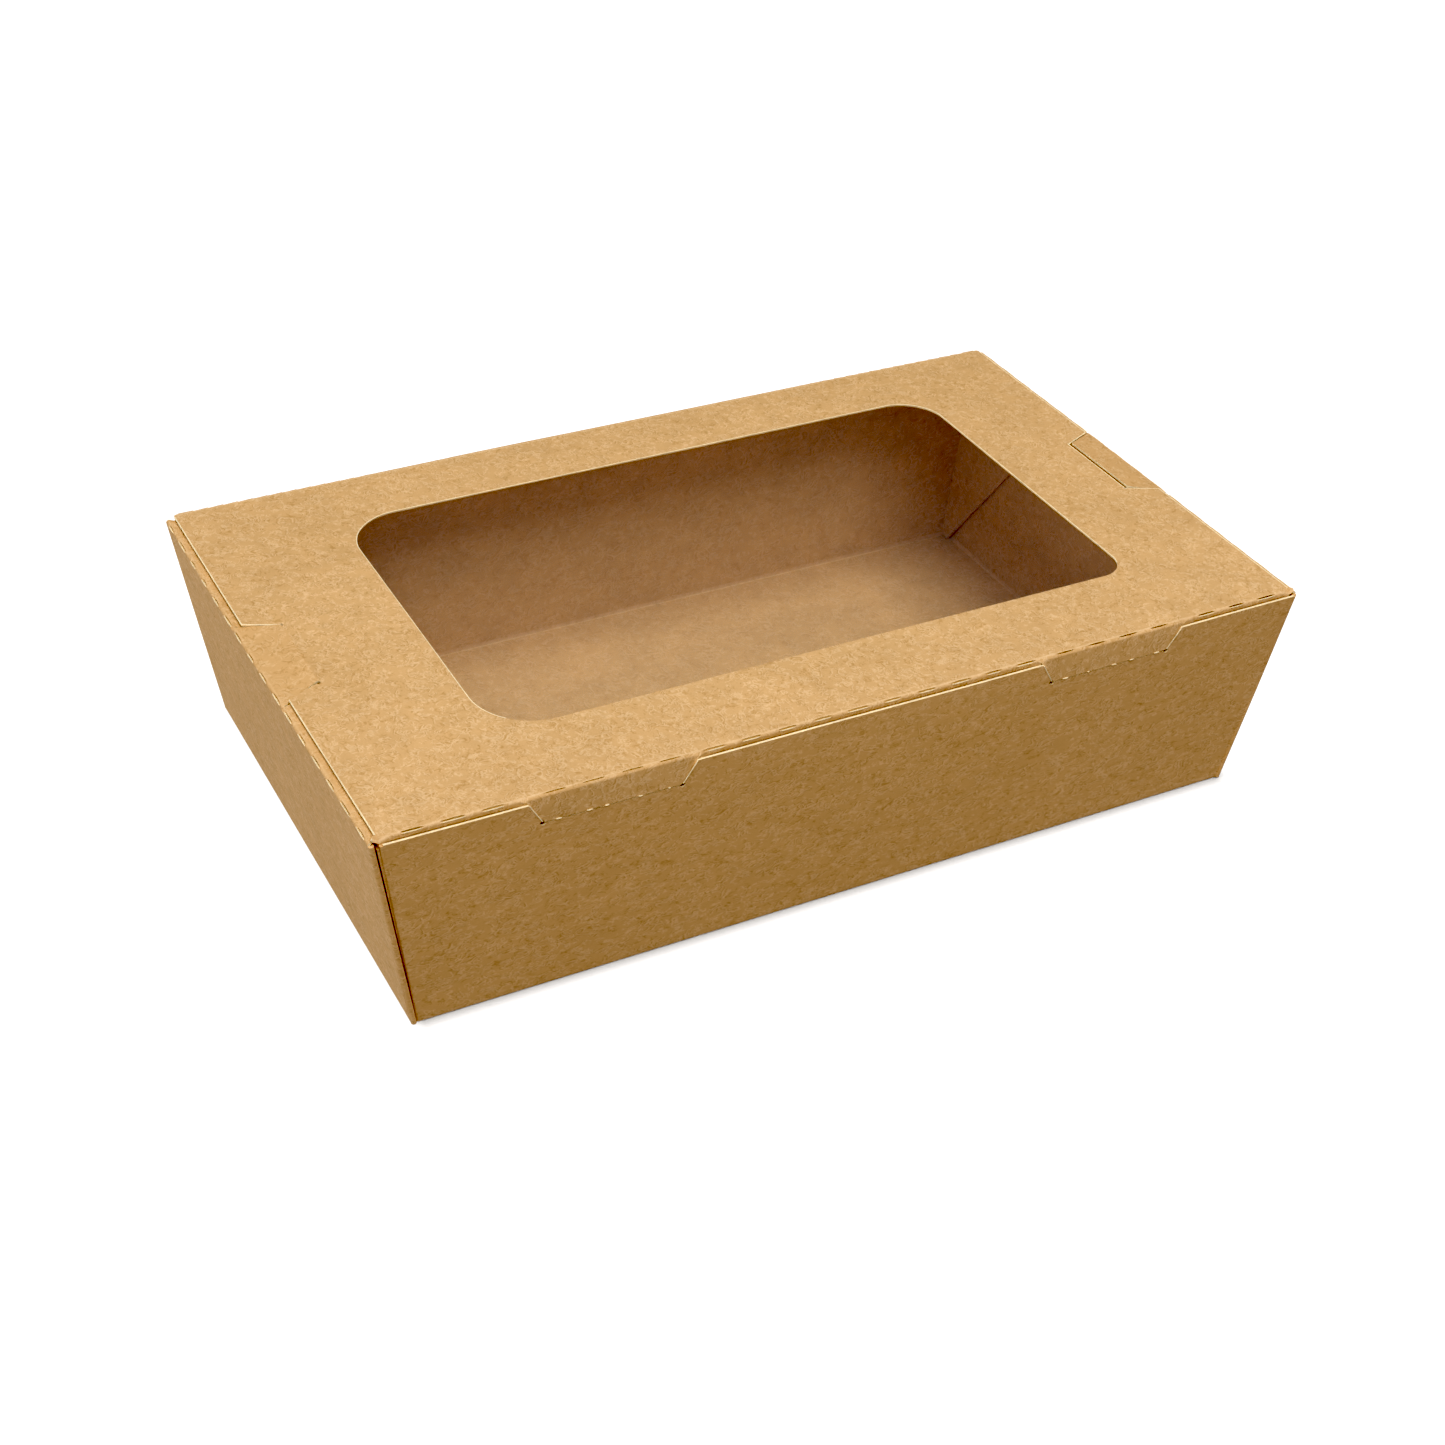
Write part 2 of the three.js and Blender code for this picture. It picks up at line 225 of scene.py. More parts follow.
def solidBoard(target, points, faces, place, outward, thickness=None):
    # lays the flat patch out in space and gives it its thickness behind the outer face
    thickness = thickness or box["board"]
    bm = bmesh.new()
    verts = [bm.verts.new(warped(place(x, s)) * mm) for x, s in points]
    for face in faces:
        bm.faces.new([verts[i] for i in face])
    for v in [v for v in bm.verts if not v.link_faces]:
        bm.verts.remove(v)
    bmesh.ops.dissolve_degenerate(bm, dist=1e-7, edges=bm.edges)
    bm.normal_update()
    facing = 0.0
    for face in bm.faces:
        wanted = Vector(outward(face.calc_center_median() / mm)).normalized()
        facing += face.calc_area() * face.normal.dot(wanted)
    if facing < 0:
        bmesh.ops.reverse_faces(bm, faces=bm.faces)
    mesh = bpy.data.meshes.new("flat")
    bm.to_mesh(mesh)
    bm.free()
    sheet = bpy.data.objects.new("flat", mesh)
    bpy.context.scene.collection.objects.link(sheet)
    wall = sheet.modifiers.new("thickness", "SOLIDIFY")
    wall.thickness = thickness * mm
    wall.offset = -1
    wall.use_even_offset = True
    wall.thickness_clamp = 0
    wall.material_offset = innerFace
    wall.material_offset_rim = cutEdge
    for _ in range(3):
        mesh.materials.append(None)
    evaluated = sheet.evaluated_get(bpy.context.evaluated_depsgraph_get())
    target.from_mesh(evaluated.to_mesh())
    bpy.data.objects.remove(sheet)
    bpy.data.meshes.remove(mesh)


def foldRod(target, a, b, radius, sides=20, rings=14, material=outerFace):
    # the rounded back of a pressed fold, as a smooth bar from a to b
    a, b = Vector(a), Vector(b)
    along = (b - a).normalized()
    u = along.orthogonal().normalized()
    v = along.cross(u)
    loops = []
    for i in range(rings + 1):
        c = a.lerp(b, i / rings)
        ring = [c + (u * math.cos(t) + v * math.sin(t)) * radius
                for t in (2 * math.pi * k / sides for k in range(sides))]
        loops.append([target.verts.new(warped(p) * mm) for p in ring])
    for low, high in zip(loops, loops[1:]):
        for k in range(sides):
            face = target.faces.new((low[k], low[(k + 1) % sides], high[(k + 1) % sides], high[k]))
            face.material_index = material
    for cap, flip in ((loops[0], True), (loops[-1], False)):
        target.faces.new(list(reversed(cap)) if flip else cap).material_index = material


def cutBead(target, points, radius):
    # the pale burr a die leaves along a cut edge
    for a, b in zip(points, points[1:]):
        foldRod(target, a, b, radius, sides=8, rings=1, material=cutEdge)


def ear(cx, cy, radius, start, end, steps=7):
    # knife over-run at a notch corner, as points on an arc, in degrees
    angles = [math.radians(start + (end - start) * k / steps) for k in range(steps + 1)]
    return [(cx + radius * math.cos(a), cy + radius * math.sin(a)) for a in angles]


sharpAngle = math.radians(38)


def finished(name, bm, materials):
    bmesh.ops.remove_doubles(bm, verts=bm.verts, dist=2e-6)
    mesh = bpy.data.meshes.new(name)
    bm.to_mesh(mesh)
    bm.free()
    for material in materials:
        mesh.materials.append(material)
    mesh.shade_smooth()
    mesh.set_sharp_from_angle(angle=sharpAngle)
    made = bpy.data.objects.new(name, mesh)
    bpy.context.scene.collection.objects.link(made)
    return made


# shader helpers

def addNode(tree, kind, **values):
    made = tree.nodes.new(kind)
    for key, value in values.items():
        setattr(made, key, value)
    return made


def feed(tree, node, **inputs):
    # sockets by name with underscores for spaces, or by number as i0, i1; an output socket is linked
    for key, value in inputs.items():
        byNumber = key[0] == "i" and key[1:].isdigit()
        socket = node.inputs[int(key[1:]) if byNumber else key.replace("_", " ")]
        if isinstance(value, bpy.types.NodeSocket):
            tree.links.new(value, socket)
        else:
            socket.default_value = value
    return node


def calc(tree, operation, a, b=0.0, clamp=False):
    made = addNode(tree, "ShaderNodeMath", operation=operation, use_clamp=clamp)
    feed(tree, made, i0=a, i1=b)
    return made.outputs[0]


def blendColour(tree, factor, a, b):
    made = addNode(tree, "ShaderNodeMix", data_type="RGBA", blend_type="MIX")
    feed(tree, made, i0=factor, i6=a, i7=b)
    return made.outputs[2]


def remap(tree, value, low, high, toLow=0.0, toHigh=1.0):
    made = addNode(tree, "ShaderNodeMapRange")
    feed(tree, made, i0=value, i1=low, i2=high, i3=toLow, i4=toHigh)
    return made.outputs[0]


def noiseAt(tree, vector, scale, detail=2.0, rough=0.5, distortion=0.0):
    made = addNode(tree, "ShaderNodeTexNoise")
    feed(tree, made, Vector=vector, Scale=scale, Detail=detail, Roughness=rough, Distortion=distortion)
    return made.outputs[0]


# fibre grain: short curled fibres, light and dark, that break off at random; the light fibres double as a
# painted highlight, with a painted shadow line beside them

def makeFibreGroup():
    tree = bpy.data.node_groups.new("kraftFibres", "ShaderNodeTree")
    for label, kind, value in (
        ("Vector", "NodeSocketVector", None),
        ("Tone", "NodeSocketColor", (0.6, 0.38, 0.18, 1)),
        ("Light Fibre", "NodeSocketColor", (0.78, 0.55, 0.31, 1)),
        ("Dark Fibre", "NodeSocketColor", (0.42, 0.23, 0.09, 1)),
        ("Fibre Size", "NodeSocketFloat", 1.0),
        ("Contrast", "NodeSocketFloat", 1.0),
        ("Mottle", "NodeSocketFloat", 0.06),
        ("Specks", "NodeSocketFloat", 1.0),
    ):
        socket = tree.interface.new_socket(label, in_out="INPUT", socket_type=kind)
        if value is not None:
            socket.default_value = value
    results = (("Color", "NodeSocketColor"), ("Height", "NodeSocketFloat"), ("Rough", "NodeSocketFloat"))
    for label, kind in results:
        tree.interface.new_socket(label, in_out="OUTPUT", socket_type=kind)
    inside = addNode(tree, "NodeGroupInput").outputs
    out = addNode(tree, "NodeGroupOutput")
    place = addNode(tree, "ShaderNodeVectorMath", operation="SCALE")
    perMm = calc(tree, "DIVIDE", 1000.0, inside["Fibre Size"])
    feed(tree, place, i0=inside["Vector"], Scale=perMm)
    p = place.outputs[0]

    def strands(scale, seed, wide, cut, curl, shadowOffset=0.0):
        shift = addNode(tree, "ShaderNodeVectorMath", operation="ADD")
        feed(tree, shift, i0=p, i1=(seed + shadowOffset, seed * 1.7 + shadowOffset, seed * 0.6 - shadowOffset))
        field = noiseAt(tree, shift.outputs[0], scale, 1.0, 0.5, curl)
        ridge = calc(tree, "ABSOLUTE", calc(tree, "SUBTRACT", field, 0.5))
        ridge = remap(tree, ridge, 0.0, wide, 1.0, 0.0)
        pieces = noiseAt(tree, shift.outputs[0], scale * 0.9, 0.0)
        return calc(tree, "MULTIPLY", ridge, remap(tree, pieces, cut, cut + 0.1))

    # each fibre is a light line, partly light fibre and partly painted highlight, with a painted shadow
    # line at its side; loose dark fibres join that shadow
    coarse = strands(scale=0.40, seed=11.0, wide=0.06, cut=0.44, curl=1.6)
    fine = strands(scale=0.72, seed=47.0, wide=0.075, cut=0.46, curl=1.2)
    lightFibreAndHighlight = calc(tree, "MAXIMUM", coarse, fine)
    paintedFibreShadow = strands(scale=0.40, seed=11.0, wide=0.06, cut=0.44, curl=1.6, shadowOffset=0.17)
    loose = strands(scale=0.62, seed=129.0, wide=0.06, cut=0.5, curl=1.2)
    darkFibreAndShadow = calc(tree, "MAXIMUM", paintedFibreShadow, loose)
    grain = noiseAt(tree, p, 3.1, 2.0, 0.6)
    patch = noiseAt(tree, p, 0.16, 3.0, 0.55, 0.4)
    broad = noiseAt(tree, p, 0.035, 2.0, 0.5)
    # dark fibres with the painted fibre shadow, then light fibres with the painted highlight, over the tone
    darkAndShadowShare = calc(tree, "MULTIPLY", calc(tree, "MULTIPLY", darkFibreAndShadow, 0.75), inside["Contrast"], True)
    lightAndHighlightShare = calc(tree, "MULTIPLY", calc(tree, "MULTIPLY", lightFibreAndHighlight, 0.8), inside["Contrast"], True)
    colour = blendColour(tree, darkAndShadowShare, inside["Tone"], inside["Dark Fibre"])
    colour = blendColour(tree, lightAndHighlightShare, colour, inside["Light Fibre"])

    # mottle: patches, broad clouds and fine grain together
    patchShade = remap(tree, patch, 0.3, 0.7, -1.0, 1.0)
    broadShade = remap(tree, broad, 0.3, 0.7, -0.6, 0.6)
    grainShade = remap(tree, grain, 0.3, 0.7, -0.7, 0.7)
    shade = calc(tree, "ADD", calc(tree, "ADD", patchShade, broadShade), grainShade)
    shade = calc(tree, "ADD", calc(tree, "MULTIPLY", shade, inside["Mottle"]), 1.0)
    level = addNode(tree, "ShaderNodeVectorMath", operation="SCALE")
    feed(tree, level, i0=colour, Scale=shade)

    # a few dark specks, one in each chosen cell
    cells = addNode(tree, "ShaderNodeTexVoronoi", feature="F1")
    feed(tree, cells, Vector=p, Scale=0.085, Randomness=1.0)
    dot = remap(tree, cells.outputs["Distance"], 0.012, 0.03, 1.0, 0.0)
    chance = addNode(tree, "ShaderNodeSeparateColor")
    feed(tree, chance, Color=cells.outputs["Color"])
    dot = calc(tree, "MULTIPLY", dot, calc(tree, "GREATER_THAN", chance.outputs[0], 0.72))
    dot = calc(tree, "MULTIPLY", calc(tree, "MULTIPLY", dot, 0.65), inside["Specks"], True)
    colour = blendColour(tree, dot, level.outputs[0], (0.16, 0.08, 0.03, 1))
    height = calc(tree, "ADD", calc(tree, "MULTIPLY", coarse, 0.8), calc(tree, "MULTIPLY", grain, 0.6))
    rough = remap(tree, calc(tree, "ADD", grain, lightFibreAndHighlight), 0.3, 1.4, 0.9, 0.74)
    feed(tree, out, Color=colour, Height=height, Rough=rough)
    return tree


fibreGroup = makeFibreGroup()


# width of a pale crease line, partly wear and partly a painted highlight, of its soft side and of its
# raggedness, in metres
paleLine = {"width": 0.0003, "soft": 0.0007, "bandSoft": 0.0003, "ragged": 0.0007, "raggedScale": 900.0}


def creaseWearAndHighlight(tree, where, look):
    # board cracks a little paler along a fold, and a painted highlight along the fold adds to that; folds
    # are (axis, distance from the middle)
    parts = addNode(tree, "ShaderNodeSeparateXYZ")
    feed(tree, parts, Vector=where)
    ragged = calc(tree, "MULTIPLY", noiseAt(tree, where, paleLine["raggedScale"], 2.0), paleLine["ragged"])
    low, high = look["paleFrom"] * mm, look["paleTo"] * mm
    above = remap(tree, parts.outputs[2], low - paleLine["bandSoft"], low, 0.0, 1.0)
    below = remap(tree, parts.outputs[2], high, high + paleLine["bandSoft"], 1.0, 0.0)
    lines = []
    for axis, half in look["folds"]:
        fromMiddle = calc(tree, "ABSOLUTE", parts.outputs[axis])
        away = calc(tree, "ABSOLUTE", calc(tree, "SUBTRACT", fromMiddle, half * mm))
        lines.append(remap(tree, calc(tree, "ADD", away, ragged), paleLine["width"], paleLine["soft"], 1.0, 0.0))
    total = lines[0]
    for line in lines[1:]:
        total = calc(tree, "MAXIMUM", total, line)
    return calc(tree, "MULTIPLY", total, calc(tree, "MULTIPLY", above, below))


def kraftMaterial(name, look):
    material = bpy.data.materials.new(name)
    material.use_nodes = True
    tree = material.node_tree
    shader = tree.nodes["Principled BSDF"]
    where = addNode(tree, "ShaderNodeTexCoord").outputs["Object"]
    turn = addNode(tree, "ShaderNodeMapping")
    feed(tree, turn, Vector=where, Rotation=look["turn"], Location=look["shift"], Scale=look["stretch"])
    fibres = addNode(tree, "ShaderNodeGroup", node_tree=fibreGroup)
    feed(tree, fibres, Vector=turn.outputs[0], Tone=look["tone"], Light_Fibre=look["light"],
         Dark_Fibre=look["dark"], Fibre_Size=look["size"], Contrast=look["contrast"],
         Mottle=look["mottle"], Specks=look["specks"])
    bump = addNode(tree, "ShaderNodeBump")
    feed(tree, bump, Strength=look["bump"], Distance=look["relief"] * mm, Height=fibres.outputs["Height"])
    colour = fibres.outputs["Color"]
    if look.get("wornAndHighlight"):
        # pale line along the folds: crease wear together with a painted highlight
        wornAndHighlight = calc(tree, "MULTIPLY", creaseWearAndHighlight(tree, where, look), look["wornAndHighlight"])
        colour = blendColour(tree, wornAndHighlight, colour, look["light"])
    feed(tree, shader, Base_Color=colour, Roughness=fibres.outputs["Rough"], Normal=bump.outputs[0])
    shader.inputs["Specular IOR Level"].default_value = 0.3
    return material


# colours are linear; size is the fibres' size, relief and the heights and folds of the pale crease lines
# (wear and painted highlight) are in mm
kraftLooks = {
    "outside": {
        "stretch": (0.75, 0.75, 1.35),
        "tone": (0.642, 0.409, 0.210, 1), "light": (0.78, 0.54, 0.31, 1), "dark": (0.44, 0.252, 0.105, 1),
        "size": 1.0, "contrast": 0.75, "mottle": 0.03, "specks": 0.8, "bump": 0.45, "relief": 0.08,
        "turn": (0.05, 0.04, 0.0), "shift": (0.01, 0.02, 0.03),
        "wornAndHighlight": 0.35, "folds": ((0, 99.6),), "paleFrom": 46.4, "paleTo": 48.5,
    },
    "lidTop": {
        "stretch": (1.0, 1.0, 1.0),
        "tone": (0.640, 0.414, 0.216, 1), "light": (0.80, 0.565, 0.335, 1), "dark": (0.45, 0.262, 0.112, 1),
        "size": 1.0, "contrast": 0.85, "mottle": 0.045, "specks": 1.0, "bump": 0.45, "relief": 0.09,
        "turn": (0.2, 0.1, 0.5), "shift": (0.01, 0.02, 0.03),
        "wornAndHighlight": 0.75, "folds": ((1, 59.0),), "paleFrom": 47.2, "paleTo": 48.5,
    },
    "inside": {
        "stretch": (0.9, 0.9, 1.2),
        "tone": (0.650, 0.404, 0.176, 1), "light": (0.77, 0.525, 0.275, 1), "dark": (0.51, 0.288, 0.105, 1),
        "size": 1.25, "contrast": 0.6, "mottle": 0.05, "specks": 0.6, "bump": 0.35, "relief": 0.07,
        "turn": (0.08, 0.05, 0.1), "shift": (0.05, 0.01, 0.06),
        "wornAndHighlight": 0.9, "folds": ((0, 92.05), (1, 55.05)), "paleFrom": 0.0, "paleTo": 1.2,
    },
    "rawEdge": {
        "stretch": (1.0, 1.0, 1.0),
        "tone": (0.93, 0.77, 0.50, 1), "light": (0.98, 0.88, 0.66, 1), "dark": (0.74, 0.53, 0.28, 1),
        "size": 0.35, "contrast": 0.9, "mottle": 0.08, "specks": 0.0, "bump": 0.8, "relief": 0.06,
        "turn": (0.3, 0.7, 0.2), "shift": (0.02, 0.05, 0.01),
    },
}
kraftOutside = kraftMaterial("kraftOutside", kraftLooks["outside"])
kraftInside = kraftMaterial("kraftInside", kraftLooks["inside"])
kraftRawEdge = kraftMaterial("kraftRawEdge", kraftLooks["rawEdge"])
kraftLidTop = kraftMaterial("kraftLidTop", kraftLooks["lidTop"])
boardMaterials = (kraftOutside, kraftInside, kraftRawEdge)
lidMaterials = (kraftLidTop, kraftInside, kraftRawEdge)
print("materials ready")


# knife marks repeated along a fold by Geometry Nodes: slits are taken out of the board,
# lips and torn nicks stand a little proud of it; size is length, width and depth in mm,
# angle is how far up the fold a mark sits, spread is the range of its length
marks = {
    "pitch": 7.5,
    "slit": {"size": (4.7, 0.34, 1.6), "angle": 53, "radius": 0.6, "spread": (0.88, 1.04)},
    "endSlit": {"size": (4.4, 0.22, 1.6), "angle": 50, "radius": 0.6, "spread": (0.6, 1.1)},
    "lip": {"size": (4.5, 0.19, 0.30), "angle": 25, "radius": 0.54, "spread": (0.7, 1.08)},
    "nick": {"size": (1.1, 0.26, 0.34), "spread": (0.3, 1.4)},
    "seed": 5,
}


def makeMarkTree():
    tree = bpy.data.node_groups.new("knifeMarks", "GeometryNodeTree")
    for label, kind in (
        ("First", "NodeSocketVector"), ("Last", "NodeSocketVector"), ("Count", "NodeSocketInt"),
        ("Mark Length", "NodeSocketFloat"), ("Mark Width", "NodeSocketFloat"),
        ("Mark Depth", "NodeSocketFloat"),
        ("Shortest", "NodeSocketFloat"), ("Longest", "NodeSocketFloat"), ("Stray", "NodeSocketFloat"),
        ("Turn", "NodeSocketRotation"), ("Seed", "NodeSocketInt"), ("Material", "NodeSocketMaterial"),
    ):
        tree.interface.new_socket(label, in_out="INPUT", socket_type=kind)
    tree.interface.new_socket("Geometry", in_out="OUTPUT", socket_type="NodeSocketGeometry")
    inside = addNode(tree, "NodeGroupInput").outputs
    out = addNode(tree, "NodeGroupOutput")
    line = addNode(tree, "GeometryNodeCurvePrimitiveLine")
    feed(tree, line, Start=inside["First"], End=inside["Last"])
    points = addNode(tree, "GeometryNodeResampleCurve")
    feed(tree, points, Curve=line.outputs[0], Count=inside["Count"])
    cutter = addNode(tree, "GeometryNodeMeshCylinder", fill_type="NGON")  # a blade's pointed outline
    feed(tree, cutter, Vertices=8, Radius=0.5, Depth=1.0)
    size = addNode(tree, "ShaderNodeCombineXYZ")
    feed(tree, size, X=inside["Mark Length"], Y=inside["Mark Width"], Z=inside["Mark Depth"])
    shaped = addNode(tree, "GeometryNodeTransform")
    feed(tree, shaped, Geometry=cutter.outputs["Mesh"], Scale=size.outputs[0])
    vary = addNode(tree, "FunctionNodeRandomValue", data_type="FLOAT")
    feed(tree, vary, i2=inside["Shortest"], i3=inside["Longest"], Seed=inside["Seed"])
    stretch = feed(tree, addNode(tree, "ShaderNodeCombineXYZ"), X=vary.outputs[1], Y=1.0, Z=1.0)
    placed = addNode(tree, "GeometryNodeInstanceOnPoints")
    feed(tree, placed, Points=points.outputs[0], Instance=shaped.outputs[0],
         Rotation=inside["Turn"], Scale=stretch.outputs[0])
    stray = addNode(tree, "FunctionNodeRandomValue", data_type="FLOAT")
    back = calc(tree, "MULTIPLY", inside["Stray"], -1.0)
    feed(tree, stray, i2=back, i3=inside["Stray"], Seed=calc(tree, "ADD", inside["Seed"], 3.0))
    offset = feed(tree, addNode(tree, "ShaderNodeCombineXYZ"), X=stray.outputs[1], Y=0.0, Z=0.0)
    moved = addNode(tree, "GeometryNodeTranslateInstances")
    feed(tree, moved, Instances=placed.outputs[0], Translation=offset.outputs[0])
    real = feed(tree, addNode(tree, "GeometryNodeRealizeInstances"), Geometry=moved.outputs[0])
    painted = addNode(tree, "GeometryNodeSetMaterial")
    feed(tree, painted, Geometry=real.outputs[0], Material=inside["Material"])
    tree.links.new(painted.outputs[0], out.inputs[0])
    return tree


markTree = makeMarkTree()


def growNodes(name, tree, values):
    # runs a node tree once and keeps its result as a plain mesh
    holder = bpy.data.objects.new(name, bpy.data.meshes.new(name))
    bpy.context.scene.collection.objects.link(holder)
    nodes = holder.modifiers.new(name, "NODES")
    nodes.node_group = tree
    for item in tree.interface.items_tree:
        if item.item_type == "SOCKET" and item.in_out == "INPUT":
            nodes[item.identifier] = values[item.name]
    graph = bpy.context.evaluated_depsgraph_get()
    mesh = bpy.data.meshes.new_from_object(holder.evaluated_get(graph), depsgraph=graph)
    holder.modifiers.clear()
    holder.data = mesh
    for v in mesh.vertices:
        v.co = warped(v.co / mm) * mm
    return holder


def markRow(kind, first, last, turn, count=None, stray=0.0, seed=0):
    # without a count the marks keep their pitch, centred between first and last
    look = marks[kind]
    first, last = Vector(first), Vector(last)
    length = (last - first).length
    if count is None:
        count = int((length - look["size"][0]) / marks["pitch"]) + 1
        half = (last - first).normalized() * marks["pitch"] * (count - 1) / 2
        first, last = (first + last) / 2 - half, (first + last) / 2 + half
    markLength, markWidth, markDepth = look["size"]
    return growNodes("knifeMarks", markTree, {
        "First": first * mm, "Last": last * mm, "Count": count, "Mark Length": markLength * mm,
        "Mark Width": markWidth * mm, "Mark Depth": markDepth * mm, "Shortest": look["spread"][0],
        "Longest": look["spread"][1], "Stray": stray * mm, "Turn": tuple(turn.to_euler()),
        "Seed": marks["seed"] + seed, "Material": kraftRawEdge})


def foldRows(kind, centre, side, spans):
    # side 0 is the lid's front fold, -1 and 1 are the end folds; centre is on the fold's axis
    angle = math.radians(marks[kind]["angle"])
    out = marks[kind]["radius"] * math.cos(angle)
    up = marks[kind]["radius"] * math.sin(angle)
    tilt = math.pi / 2 - angle
    x, y, z = centre
    rows = []
    for i, (a, b) in enumerate(spans):
        if side == 0:
            turn = Matrix.Rotation(tilt, 3, "X")
            row = markRow(kind, (a, y - out, z + up), (b, y - out, z + up), turn, seed=i)
        else:
            turn = Matrix.Rotation(side * tilt, 3, "Y") @ Matrix.Rotation(math.pi / 2, 3, "Z")
            row = markRow(kind, (x + side * out, a, z + up), (x + side * out, b, z + up), turn, seed=i)
        rows.append(row)
    return rows


def cutAlong(board, kind, centre, side, spans):
    # each row of slits is cut out of the board's mesh in turn
    for row in foldRows(kind, centre, side, spans):
        cut = board.modifiers.new("slits", "BOOLEAN")
        cut.object, cut.operation, cut.solver = row, "DIFFERENCE", "MANIFOLD"
        graph = bpy.context.evaluated_depsgraph_get()
        made = bpy.data.meshes.new_from_object(board.evaluated_get(graph), depsgraph=graph)
        board.modifiers.clear()
        old = board.data
        board.data = made
        bpy.data.meshes.remove(old)
        bpy.data.objects.remove(row)


def addMarks(target, kind, centre, side, spans):
    for row in foldRows(kind, centre, side, spans):
        addMesh(target, row)


def addMesh(target, row):
    for polygon in row.data.polygons:
        polygon.material_index = cutEdge
    target.from_mesh(row.data)
    bpy.data.objects.remove(row)


def endSpans():
    half, w = tray["flangeEnd"] - 0.6, tongues["endWide"] / 2
    return ((-half, -w - 0.4), (-w + 1.0, w - 1.0), (w + 0.4, half))


def frontSpans():
    m, w, end = tongues["frontMiddle"], tongues["frontWide"] / 2, lid["halfLength"] - 0.7
    return ((-end, -m - w - 0.3), (-m - w + 1.0, -m + w - 1.0), (-m + w + 0.2, m - w - 0.2),
            (m - w + 1.0, m + w - 1.0), (m + w + 0.3, end))


# the lock tongues of both pieces, in mm
tongues = {
    "frontMiddle": 54.0,  # from the middle of the box
    "frontWide": 34.0,
    "frontNarrow": 27.0,
    "frontDepth": 6.0,
    "endWide": 29.0,
    "endNarrow": 21.0,
    "endDepth": 8.2,
    "clearance": 0.25,
    "overRun": 0.55,  # radius of the knife's over-run at a front notch's corners
    "endOverRun": 0.45,
    "proud": 0.26,  # how far an end tongue's tip stands above the lid
    "tipShift": {-1: -0.2, 1: 0.42},  # how far each end tongue falls short of its notch
    "bead": 0.11,  # radius of the burr at the front notches' sides
}

# tray: front wall, base and back wall in one strip, then the ends, then the webs
tray = {
    "frontEdge": 46.7,  # height of the front wall's raw edge
    "backEdge": 46.75,  # height where the lid's crease starts
    "wallEndLow": 90.9,  # half length of front and back walls at the base
    "wallEndHigh": 97.5,  # and at their rims
    "rightShift": (0.5, 1.4),  # how much longer the walls are on the right, at the base and the rim
    "flangeWidth": 16.0,
    "flangeEnd": 58.95,  # half length of the end fold
    "flangeTip": 44.0,  # half length of the flange's free edge
    "webStart": 0.5,  # heights between which the webs lie
    "webTop": 45.5,
    "webInset": 1.9,  # where the diagonal fold starts, inside the base's corner
    "webEdge": (0.15, 0.8),  # how far the web's outer fold lies inside the side wall, low and high
}


def frontNotch(middle):
    slope = (tongues["frontWide"] - tongues["frontNarrow"]) / 2 / tongues["frontDepth"]
    side = tongues["clearance"] * math.hypot(1, slope)
    drop = box["height"] - tray["frontEdge"]
    top = tongues["frontWide"] / 2 + side - slope * drop
    low = tongues["frontNarrow"] / 2 + side
    depth = tongues["frontDepth"] + tongues["clearance"] - drop
    r = tongues["overRun"]
    left = [(middle - top, 0.0)] + ear(middle - low, depth, r, 240, 0)
    right = [(2 * middle - x, y) for x, y in reversed(left)]
    return left + right


def endAxis(side):
    return (side * (box["halfLength"] - box["foldRadius"]), 0, box["flangeTop"] - box["foldRadius"])


